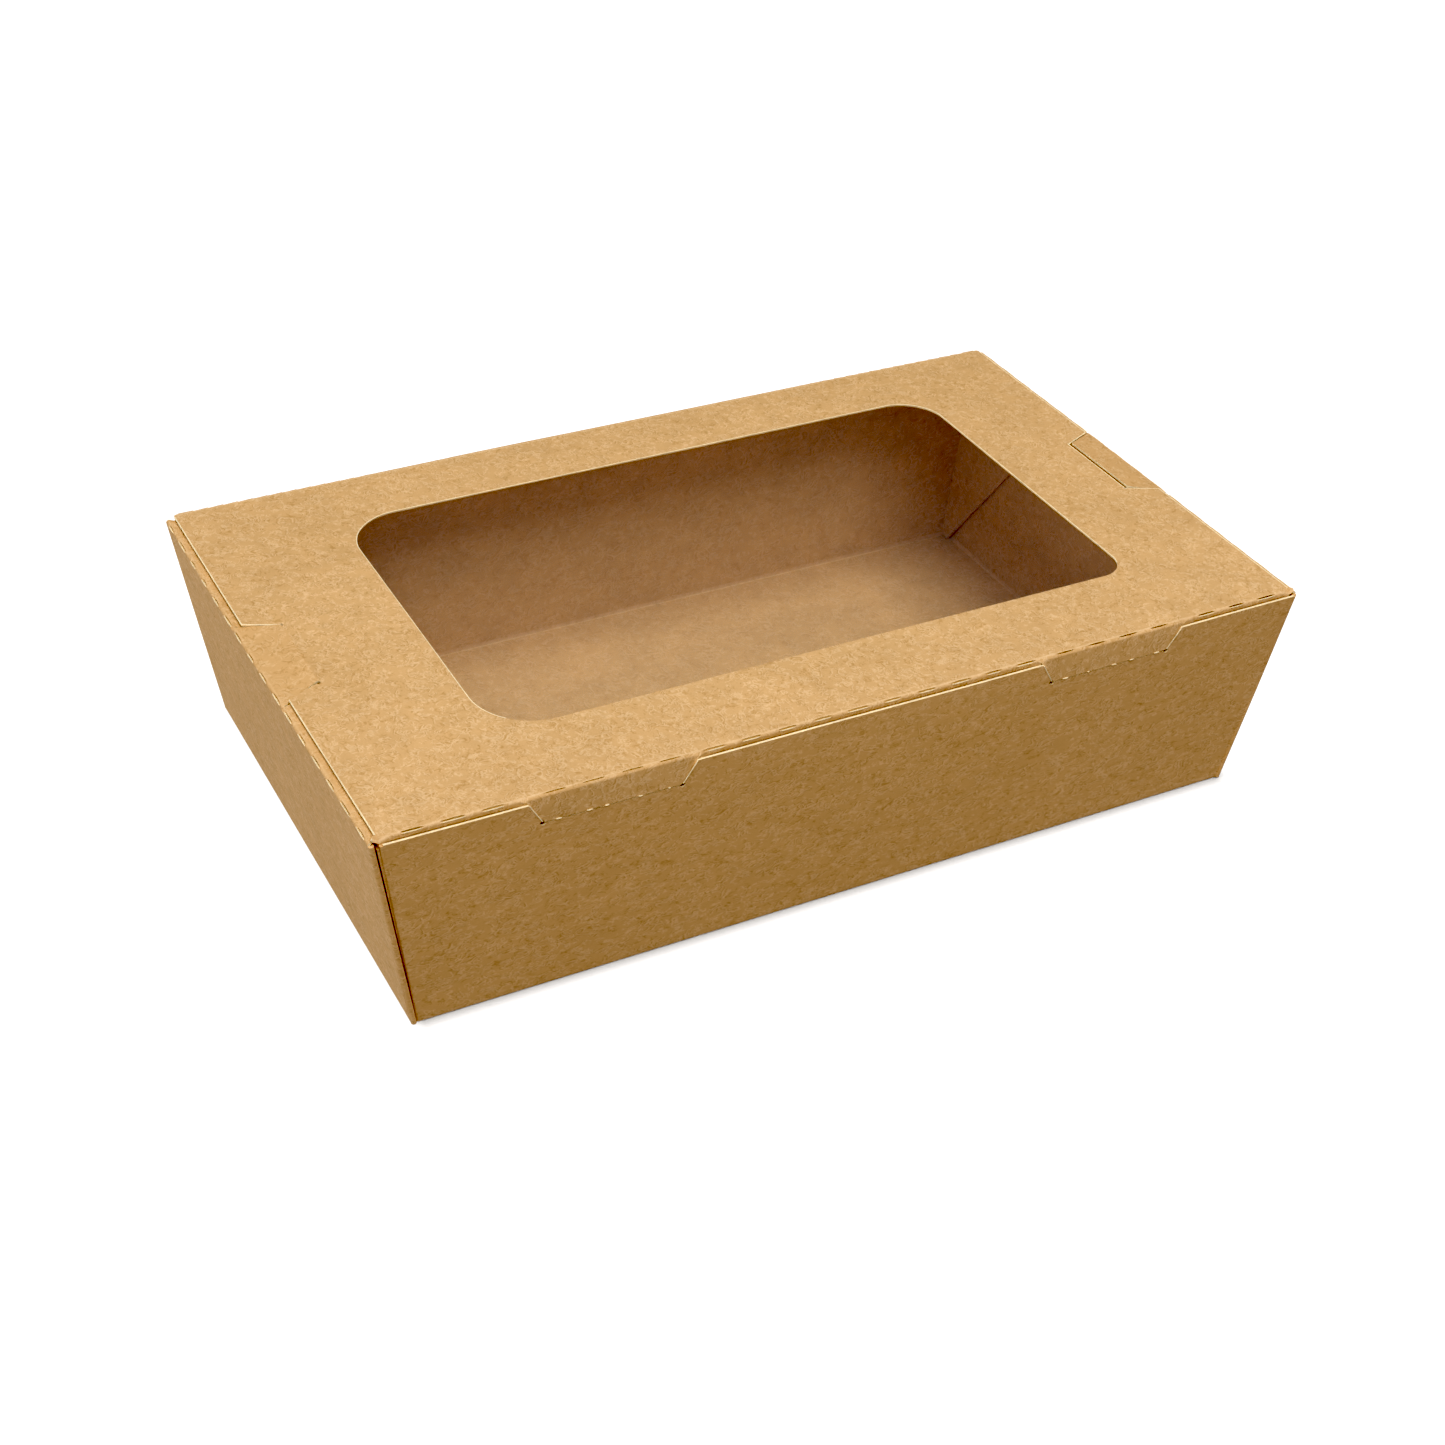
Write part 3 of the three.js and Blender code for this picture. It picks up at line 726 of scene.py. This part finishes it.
def buildEnd(side):
    # an end wall with its flange and its lock tongue
    gap = tongues["clearance"]
    tipX = box["halfLength"] - tongues["endDepth"] + tongues["tipShift"][side]
    tipRise = box["height"] + tongues["proud"] - box["flangeTop"]
    rootX = box["halfLength"] - box["board"]
    slant = tipRise / (rootX - tipX)
    start = (box["halfBaseLength"] - 0.6, 0)
    wallTop = (endX(box["flangeTop"]), box["flangeTop"])
    flangeFold = filleted([start, (box["halfBaseLength"], 0), wallTop,
                           (box["halfLength"] - tray["flangeWidth"], box["flangeTop"])], box["foldRadius"])
    tongueTop = box["flangeTop"] - slant * (endX(box["flangeTop"]) - rootX)
    tongueFold = filleted([start, (box["halfBaseLength"], 0), (endX(tongueTop), tongueTop),
                           (tipX, box["flangeTop"] + tipRise)], box["foldRadius"])
    rows = flangeFold[1][1:-1]
    arcStart, arcEnd, last = rows[foldSteps + 1], rows[-1], flangeFold[1][-1]
    sideLow = box["halfBaseDepth"] - 0.5
    sideHigh = sideY(tray["webTop"] + 1.1) - 0.78
    right = [(sideLow, 0.0), (sideLow, rows[foldSteps]), (sideHigh, arcStart - 0.4),
             (tray["flangeEnd"], arcStart), (tray["flangeEnd"], arcEnd), (tray["flangeTip"], last)]
    outline = right + [(-y, s) for y, s in reversed(right)]
    wide, narrow = tongues["endWide"] / 2, tongues["endNarrow"] / 2
    tip = tongueFold[1][-1] - (tongueFold[1][-2] - arcEnd)
    edge = arcEnd + slack
    kerf = [(wide + gap, edge), (narrow + gap, tip + gap), (-narrow - gap, tip + gap), (-wide - gap, edge),
            (-wide, edge), (-narrow, tip), (narrow, tip), (wide, edge)]
    points, faces = boardPatch(outline, (kerf,), rows)

    def place(y, s):
        half = wide - (wide - narrow) * max(s - arcEnd, 0) / (tip - arcEnd)
        onTongue = s > arcStart and abs(y) <= half + slack and s <= tip + slack
        if onTongue:
            k = (s - arcStart) / (arcEnd - arcStart)
            startT, endT = tongueFold[1][foldSteps + 2], tongueFold[1][-2]
            s = startT + (endT - startT) * k if k < 1 else endT + (s - arcEnd)
        x, z = walk(tongueFold if onTongue else flangeFold, s)
        return (side * x, y, z)

    bm = bmesh.new()
    solidBoard(bm, points, faces, place,
               lambda c: (c.x, 0, 0) if 1 < c.z < box["flangeTop"] - 1 else (0, 0, c.z - 20))
    sheet = finished("end", bm, boardMaterials)
    cutAlong(sheet, "endSlit", endAxis(side), side, endSpans())
    return sheet


def buildTray():
    bm = bmesh.new()
    front, back = -sideY(tray["frontEdge"]), sideY(tray["backEdge"])
    fold = filleted([(front, tray["frontEdge"]), (-box["halfBaseDepth"], 0), (box["halfBaseDepth"], 0),
                     (back, tray["backEdge"])], box["foldRadius"])
    rows = fold[1][1:-1]
    high, low, last = tray["wallEndHigh"], tray["wallEndLow"], fold[1][-1]
    base = box["halfBaseLength"] - 0.58
    moreLow, moreHigh = tray["rightShift"]
    rightLow, rightHigh = low + moreLow, high + moreHigh
    baseStart, baseEnd = rows[foldSteps] + 0.3, rows[foldSteps + 1] - 0.3
    frontBend, backBend = rows[3], rows[12]  # halfway round the two base folds
    m = tongues["frontMiddle"]
    outline = [(-high, 0.0)] + frontNotch(-m) + frontNotch(m) + [
        (rightHigh, 0.0), (rightLow, rows[0]), (rightLow, frontBend), (base, baseStart),
        (base, baseEnd), (rightLow, backBend), (rightLow, rows[-1]), (rightHigh, last),
        (-high, last), (-low, rows[-1]), (-low, backBend), (-base, baseEnd),
        (-base, baseStart), (-low, frontBend), (-low, rows[0])]
    points, faces = boardPatch(outline, (), rows)
    solidBoard(bm, points, faces, lambda x, s: (x, *walk(fold, s)),
               lambda c: (0, 0, -1) if c.z < 1 else (0, c.y, 0))
    slope = (tongues["frontWide"] - tongues["frontNarrow"]) / 2 / tongues["frontDepth"]
    mouth = frontNotch(0)[-1][0]
    for middle in (-m, m):
        for k in (-1, 1):
            notchSide = [(middle + k * (mouth - slope * s), *walk(fold, s)) for s in (0.1, 2.5, 4.6)]
            cutBead(bm, notchSide, tongues["bead"])
    for side in (-1, 1):
        sheet = buildEnd(side)
        bm.from_mesh(sheet.data)
        addMarks(bm, "lip", endAxis(side), side, endSpans())
        bpy.data.objects.remove(sheet)

    # webs: the corner board folded double along its diagonal, flat against the end wall
    board, gap = box["board"], box["pressGap"]
    foldR = board + gap / 2
    stack = 2 * (board + gap)
    deep = board + gap + foldR
    top = box["flangeTop"] - 0.7
    slantX = 1 / math.hypot(1, endLean)
    halfAngle = (math.pi / 2 - math.atan(sideLean) - math.atan(endLean)) / 2
    diagonal = math.tan(halfAngle - math.atan(sideLean))
    z0, z1 = tray["webStart"], tray["webTop"]
    insetLow, insetHigh = tray["webEdge"]

    def inEnd(sx, sy, y, z, depth):
        return (sx * (endX(z) - depth * slantX), sy * y, z + depth * endLean * slantX)

    def edgeY(z):
        return lerp(box["halfBaseDepth"] - insetLow, sideY(z1) - insetHigh, z / z1)

    def diagonalY(z):
        return box["halfBaseDepth"] - tray["webInset"] - diagonal * z

    def bendAxis(sx, z):  # where the side wall turns in, as (x, y)
        more = lerp(moreLow, moreHigh, z / z1) if sx > 0 else 0
        return (lerp(low, high, z / z1) + more, sideY(z) - board)

    for sx in (-1, 1):
        for sy in (-1, 1):
            for outer, depth in ((edgeY, board + gap), (lambda z: sideY(z) - board, stack)):
                outline = [(outer(z0), z0), (outer(z1), z1), (diagonalY(z1), z1), (diagonalY(z0), z0)]
                points, faces = boardPatch(outline, step=2.5)
                solidBoard(bm, points, faces, lambda y, z, d=depth: inEnd(sx, sy, y, z, d),
                           lambda c: (c.x, 0, 0))
            edgeLow, edgeHigh, edgeTop = (inEnd(sx, sy, edgeY(z), z, foldR) for z in (0.2, z1, top))
            foldRod(bm, edgeLow, edgeHigh, foldR)
            foldRod(bm, edgeHigh, edgeTop, foldR, rings=1)
            diagonalLow, diagonalHigh = (inEnd(sx, sy, diagonalY(z), z, deep) for z in (z0, z1))
            foldRod(bm, diagonalLow, diagonalHigh, foldR)
            ends = []
            for z in (0.3, z1 + 1.0):
                x, y = bendAxis(sx, z)
                ends.append((sx * x, sy * y, z))
            foldRod(bm, ends[0], ends[1], board)

    # the corners are folds all the way up, with no cut edge, so none shows there
    for face in bm.faces:
        c = face.calc_center_median() / mm
        inCorner = abs(c.x) > 88 and abs(c.y) > 50 and c.z < z1 + 0.3
        if inCorner and face.material_index == cutEdge:
            face.material_index = outerFace
    return finished("boardTray", bm, boardMaterials)


boardTray = buildTray()
print("tray ready")


# lid: panel, front fold, tuck flap and the two front tongues in one sheet
lid = {
    "halfLength": 98.3,
    "cornerRadius": 0.6,  # of the panel's back corners
    "creaseY": 59.1,  # where the panel meets the back crease
    "windowLength": 140.4,
    "windowWidth": 82.0,
    "windowX": 2.0,  # middle of the window
    "windowY": 1.7,
    "windowRadii": (9.5, 6.0, 12.5, 12.0),  # far right, near right, near left, far left
    "flapDepth": 16.0,
    "flapHalf": 97.3,
    "flapTaper": 7.0,  # how much shorter the flap's lower edge is at each end
    "flapRound": 5.0,  # of the flap's lower corners
    "flapLean": 0.1,  # inwards, for each mm of depth
    "flapY": 59.25,  # outer face of the flap where the fold ends
    "tongueOut": 0.34,  # how far the fold is drawn out at the tongues
    "tongueEase": 3.0,  # over which the fold comes back to its own line
    "bead": 0.13,  # radius of the burr on the cut edges
}


def roundedLoop(cx, cy, w, h, radii, steps=14):
    loop = []
    for sx, sy, first, r in zip((1, 1, -1, -1), (-1, 1, 1, -1), (-90, 0, 90, 180), radii):
        for k in range(steps + 1):
            a = math.radians(first + 90 * k / steps)
            loop.append((cx + sx * (w / 2 - r) + r * math.cos(a), cy + sy * (h / 2 - r) + r * math.sin(a)))
    return loop


def buildLid():
    bm = bmesh.new()
    top = box["height"]
    cornerY = lid["flapY"] + lid["flapLean"] * box["board"]
    start = (lid["creaseY"], top)
    flapEnd = (-lid["flapY"] + lid["flapLean"] * lid["flapDepth"], top - box["board"] - lid["flapDepth"])
    flapPath = filleted([start, (-cornerY, top), flapEnd], box["foldRadius"])
    tipY = box["halfDepth"] - sideLean * tongues["frontDepth"] + 0.06
    tipZ = top - tongues["frontDepth"]
    rootY = lid["flapY"] + lid["tongueOut"]
    run = (tipY - rootY) / (tongues["frontDepth"] - box["board"])
    tonguePath = filleted([start, (-rootY + run * box["board"], top), (-tipY, tipZ)], box["foldRadius"])
    rows = flapPath[1][1:-1]
    arcStart, arcEnd, last = rows[0], rows[-1], flapPath[1][-1]
    tip = arcEnd + tonguePath[1][-1] - tonguePath[1][-2]
    half, r = lid["halfLength"], lid["cornerRadius"]

    # end notch: its middle is at y = 0
    slope = (tongues["endWide"] - tongues["endNarrow"]) / 2 / tongues["endDepth"]
    side = tongues["clearance"] * math.hypot(1, slope)
    mouth = tongues["endWide"] / 2 + side - slope * (box["halfLength"] - half)
    depthX = box["halfLength"] - tongues["endDepth"] - tongues["clearance"] - slack
    low = tongues["endNarrow"] / 2 + side
    mid = lid["creaseY"]
    overRun = tongues["endOverRun"]
    rightNotch = ([(half, mid - mouth)] + ear(depthX, mid - low, overRun, -26, -270)
                  + ear(depthX, mid + low, overRun, 270, 26) + [(half, mid + mouth)])
    flapHalf, taper, depth = lid["flapHalf"], lid["flapTaper"], lid["flapRound"]
    right = ([(half - r, 0.0), (half - r * 0.3, r * 0.3), (half, r)] + rightNotch
             + [(half, arcStart - 0.8), (half + 0.8, arcStart), (half + 0.8, arcEnd),
                (flapHalf + 0.9, arcEnd + 0.4),
                (flapHalf - taper * 0.72, last - depth), (flapHalf - taper * 0.9, last - depth * 0.45),
                (flapHalf - taper * 1.25, last - depth * 0.1), (flapHalf - taper - depth, last)])
    outline = right + [(-x, s) for x, s in reversed(right)]
    window = roundedLoop(lid["windowX"], mid - lid["windowY"], lid["windowLength"], lid["windowWidth"],
                         lid["windowRadii"])
    wide, narrow, gap = tongues["frontWide"] / 2, tongues["frontNarrow"] / 2, tongues["clearance"]
    kerfs = []
    for m in (-tongues["frontMiddle"], tongues["frontMiddle"]):
        edge = arcEnd + slack
        kerfs.append([(m + wide + gap, edge), (m + narrow + gap, tip + gap), (m - narrow - gap, tip + gap),
                      (m - wide - gap, edge), (m - wide, edge), (m - narrow, tip), (m + narrow, tip),
                      (m + wide, edge)])
    points, faces = boardPatch(outline, (window, *kerfs), rows)

    def place(x, s):
        # the fold is drawn out to the tongue's path at a tongue, and eases back beside it
        off = abs(abs(x) - tongues["frontMiddle"])
        reach = wide - (wide - narrow) * max(s - arcEnd, 0) / (tip - arcEnd)
        onTongue = s > arcStart - 6 and off <= reach + slack and s <= tip + slack
        a, b = tonguePath[1][1], tonguePath[1][-2]
        k = (s - arcStart) / (arcEnd - arcStart)
        if k < 0:
            along = a * s / arcStart
        elif k < 1:
            along = a + (b - a) * k
        else:
            along = b + (s - arcEnd)
        share = 1.0
        if not onTongue:
            ease = lid["tongueEase"]
            share = max(0.0, 1 - max(off - wide, 0) / ease) * max(0.0, 1 - abs(s - arcEnd) / ease)
        y, z = walk(flapPath, s).lerp(walk(tonguePath, along), share)
        return (x, y, z)

    solidBoard(bm, points, faces, place, lambda c: (0, 0, 1) if c.z > top - 1 else (0, -1, 0))
    sheet = finished("flatLid", bm, lidMaterials)
    axis = (0, -lid["flapY"] + box["foldRadius"], top - box["foldRadius"])
    cutAlong(sheet, "slit", axis, 0, frontSpans())
    bm = bmesh.new()
    bm.from_mesh(sheet.data)
    bpy.data.objects.remove(sheet)
    addMarks(bm, "lip", axis, 0, frontSpans())

    # burrs along the side edges, the notches and the window, none on the window's near edge
    bead = lid["bead"]
    high = top - bead * 0.7
    for k in (-1, 1):
        edge, deep = k * (half - bead * 0.4), k * (depthX - bead)
        cutBead(bm, ((edge, mid - 1, high), (edge, mouth, high), (deep, low, high)), bead)
        cutBead(bm, ((edge, -mouth, high), (edge, 1 - mid, high)), bead)
        if k > 0:
            cutBead(bm, ((deep, low, high), (deep, -low, high), (edge, -mouth, high)), bead)
    rim = [(x, mid - s, high) for x, s in window]
    nearY = lid["windowY"] - lid["windowWidth"] / 2 + 3
    for a, b in zip(rim, rim[1:] + rim[:1]):
        if min(a[1], b[1]) > nearY or abs(a[1] - b[1]) > 20:
            cutBead(bm, (a, b), bead)

    # torn nicks under the front tongues' tips
    lean = Matrix.Rotation(math.radians(60), 3, "X")
    for k, m in enumerate((-tongues["frontMiddle"], tongues["frontMiddle"])):
        reach = tongues["frontNarrow"] / 2 - 2.5
        edgeY = -tipY + 0.02
        addMesh(bm, markRow("nick", (m - reach, edgeY, tipZ), (m + reach, edgeY, tipZ), lean,
                            count=5, stray=2.0, seed=20 + k))
    return finished("boardLid", bm, lidMaterials)


boardLid = buildLid()
print("lid ready")


# the crease that joins lid and back wall
# half lengths at the wall and at the lid, then the bend's radius, in mm
crease = {"halfStart": 97.4, "halfEnd": 97.1, "radius": 0.8, "segments": 10}


def buildCrease():
    bm = bmesh.new()
    start = (sideY(tray["backEdge"]), tray["backEdge"])
    fold = filleted([start, (box["halfDepth"] - 0.02, box["height"]), (lid["creaseY"], box["height"])],
                    crease["radius"], crease["segments"])
    rows = fold[1][1:-1]
    last = fold[1][-1]
    outline = [(-crease["halfStart"], 0.0), (crease["halfStart"], 0.0), (crease["halfEnd"], last),
               (-crease["halfEnd"], last)]
    points, faces = boardPatch(outline, (), rows)
    solidBoard(bm, points, faces, lambda x, s: (x, *walk(fold, s)), lambda c: (0, c.y, 0))
    return finished("backCrease", bm, boardMaterials)


backCrease = buildCrease()
print("crease ready")


# clear film glued under the lid
film = {
    "margin": 7.0,  # glued rim round the window
    "thickness": 0.12,
    "drop": 0.02,  # under the lid's inner face
    "alpha": 0.046,
    "colour": (0.66, 0.84, 0.98, 1),
    "refraction": 1.5,
    "waveScale": 26.0,
    "waveHeight": 0.3,
    "smearScale": 60.0,
    "roughness": (0.03, 0.09),
}


def buildFilm():
    bm = bmesh.new()
    loop = roundedLoop(lid["windowX"], lid["windowY"], lid["windowLength"] + 2 * film["margin"],
                       lid["windowWidth"] + 2 * film["margin"], (1, 1, 1, 1), 4)
    points, faces = boardPatch(loop, step=5)
    z = box["height"] - box["board"] - film["drop"]
    solidBoard(bm, points, faces, lambda x, y: (x, y, z), lambda c: (0, 0, 1), film["thickness"])
    return finished("clearFilm", bm, (clearFilmMaterial,) * 3)


def makeFilmMaterial():
    material = bpy.data.materials.new("clearFilm")
    material.use_nodes = True
    tree = material.node_tree
    shader = tree.nodes["Principled BSDF"]
    where = addNode(tree, "ShaderNodeTexCoord").outputs["Object"]
    wave = noiseAt(tree, where, film["waveScale"], 2.0)
    bump = addNode(tree, "ShaderNodeBump")
    feed(tree, bump, Strength=0.12, Distance=film["waveHeight"] * mm, Height=wave)
    smear = noiseAt(tree, where, film["smearScale"], 3.0)
    rough = remap(tree, smear, 0.3, 0.7, *film["roughness"])
    feed(tree, shader, Roughness=rough, Normal=bump.outputs[0])
    shader.inputs["Base Color"].default_value = film["colour"]
    shader.inputs["Alpha"].default_value = film["alpha"]
    shader.inputs["IOR"].default_value = film["refraction"]
    return material


clearFilmMaterial = makeFilmMaterial()
clearFilm = buildFilm()
print("film ready")

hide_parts("tray")
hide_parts("lid")
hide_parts("window_film")
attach(boardTray, "tray_body")
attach(boardLid, "lid_body")
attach(clearFilm, "lid_body")
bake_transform(backCrease)


# floor, lights and camera

studio = {
    "floor": 6.0,  # side of the floor in metres
    "ambient": 0.33,
    "glow": 1.1,  # the pale ground's own light
    "shadowReach": 0.0034,  # metres from the box's foot
    "shadowDepth": 3.2,
    "shadowEnds": (-0.0930, -0.0900),  # x over which the shadow comes in
    "blackLevel": 0.1,
}

# softboxes: places and sizes in metres, power in watts
lights = {
    "topSoftbox": {"place": (-0.05, -0.28, 0.90), "aim": (0, 0, 0.03), "size": (0.7, 0.7), "power": 7.5},
    "leftSoftbox": {"place": (-1.1, 0.05, 0.16), "aim": (0, 0, 0.02), "size": (0.8, 0.25), "power": 3.75},
    "frontFill": {"place": (0.3, -1.2, 0.18), "aim": (0, 0, 0.02), "size": (1.0, 0.3), "power": 1.38,
                  "colour": (1.0, 0.76, 0.67)},
    "backFill": {"place": (-0.2, 1.2, 0.16), "aim": (0, 0, 0.02), "size": (1.0, 0.3), "power": 0.8,
                 "colour": (1.0, 0.9, 0.8)},
}

floorMesh = bpy.data.meshes.new("floor")
edge = studio["floor"] / 2
floorCorners = [(-edge, -edge, 0), (edge, -edge, 0), (edge, edge, 0), (-edge, edge, 0)]
floorMesh.from_pydata(floorCorners, [], [(0, 1, 2, 3)])
floor = bpy.data.objects.new("floor", floorMesh)
bpy.context.scene.collection.objects.link(floor)
floor.location.z = -0.00002  # just under the base
floorMaterial = bpy.data.materials.new("paleFloor")
floorMaterial.use_nodes = True
floorTree = floorMaterial.node_tree
floorShader = floorTree.nodes["Principled BSDF"]
# the contact shadow is painted into the floor's glow: the glow is dimmed where the box stands close
closeness = addNode(floorTree, "ShaderNodeAmbientOcclusion", samples=1)
closeness.inputs["Distance"].default_value = studio["shadowReach"]
across = addNode(floorTree, "ShaderNodeSeparateXYZ")
feed(floorTree, across, Vector=addNode(floorTree, "ShaderNodeTexCoord").outputs["Object"])
openFloor = remap(floorTree, closeness.outputs["AO"], 0.5, 1.0)
paintedShadow = calc(floorTree, "POWER", openFloor, studio["shadowDepth"])
# the painted contact shadow is kept away from the left end, as the light falls from the left
leftOfBox = remap(floorTree, across.outputs[0], *studio["shadowEnds"], 1.0, 0.0)
glow = calc(floorTree, "MULTIPLY", calc(floorTree, "MAXIMUM", paintedShadow, leftOfBox), studio["glow"])
feed(floorTree, floorShader, Emission_Strength=glow)
floorShader.inputs["Emission Color"].default_value = (1, 1, 1, 1)
floorShader.inputs["Base Color"].default_value = (0.16, 0.14, 0.12, 1)
floorShader.inputs["Roughness"].default_value = 0.95
floorShader.inputs["Specular IOR Level"].default_value = 0.1
floorMesh.materials.append(floorMaterial)
floor.visible_diffuse = False  # the glowing ground does not light the box

world = bpy.data.worlds.new("studio")
bpy.context.scene.world = world
world.use_nodes = True
world.node_tree.nodes["Background"].inputs["Color"].default_value = (1, 1, 1, 1)
world.node_tree.nodes["Background"].inputs["Strength"].default_value = studio["ambient"]


def areaLight(name, place, aim, size, power, colour=(1, 1, 1)):
    lamp = bpy.data.lights.new(name, "AREA")
    lamp.shape = "RECTANGLE"
    lamp.size, lamp.size_y = size
    lamp.energy = power
    lamp.color = colour
    made = bpy.data.objects.new(name, lamp)
    made.location = place
    made.rotation_euler = (Vector(aim) - Vector(place)).to_track_quat("-Z", "Y").to_euler()
    bpy.context.scene.collection.objects.link(made)


for name, lamp in lights.items():
    areaLight(name, **lamp)

view = bpy.context.scene.view_settings
view.view_transform = "Standard"
view.look = "None"
view.use_curve_mapping = True
view.curve_mapping.black_level = (studio["blackLevel"],) * 3
view.curve_mapping.update()

# the photograph's viewpoint, found from the box's own edges: degrees, mm and pixels
shot = {
    "azimuth": -29.108,
    "elevation": 35.259,
    "roll": 2.836,
    "distance": 474.1,
    "aim": (-9.66, -18.4, 20.0),
    "focalPixels": 2319.2,
    "framePixels": 1445.0,
}


def makeCamera():
    lens = bpy.data.cameras.new("camera")
    lens.sensor_width = 36.0
    lens.sensor_fit = "HORIZONTAL"
    lens.lens = lens.sensor_width * shot["focalPixels"] / shot["framePixels"]
    lens.clip_start = 0.01
    lens.clip_end = 50
    az, el, roll = (math.radians(shot[k]) for k in ("azimuth", "elevation", "roll"))
    out = Vector((math.sin(az) * math.cos(el), -math.cos(az) * math.cos(el), math.sin(el)))
    right = (-out).cross(Vector((0, 0, 1))).normalized()
    up = right.cross(-out)
    rolledRight = right * math.cos(roll) + up * math.sin(roll)
    rolledUp = up * math.cos(roll) - right * math.sin(roll)
    made = bpy.data.objects.new("camera", lens)
    turn = Matrix((rolledRight, rolledUp, out)).transposed().to_4x4()
    made.matrix_world = Matrix.Translation((Vector(shot["aim"]) + out * shot["distance"]) * mm) @ turn
    bpy.context.scene.collection.objects.link(made)
    bpy.context.scene.camera = made


makeCamera()
print("scene ready")
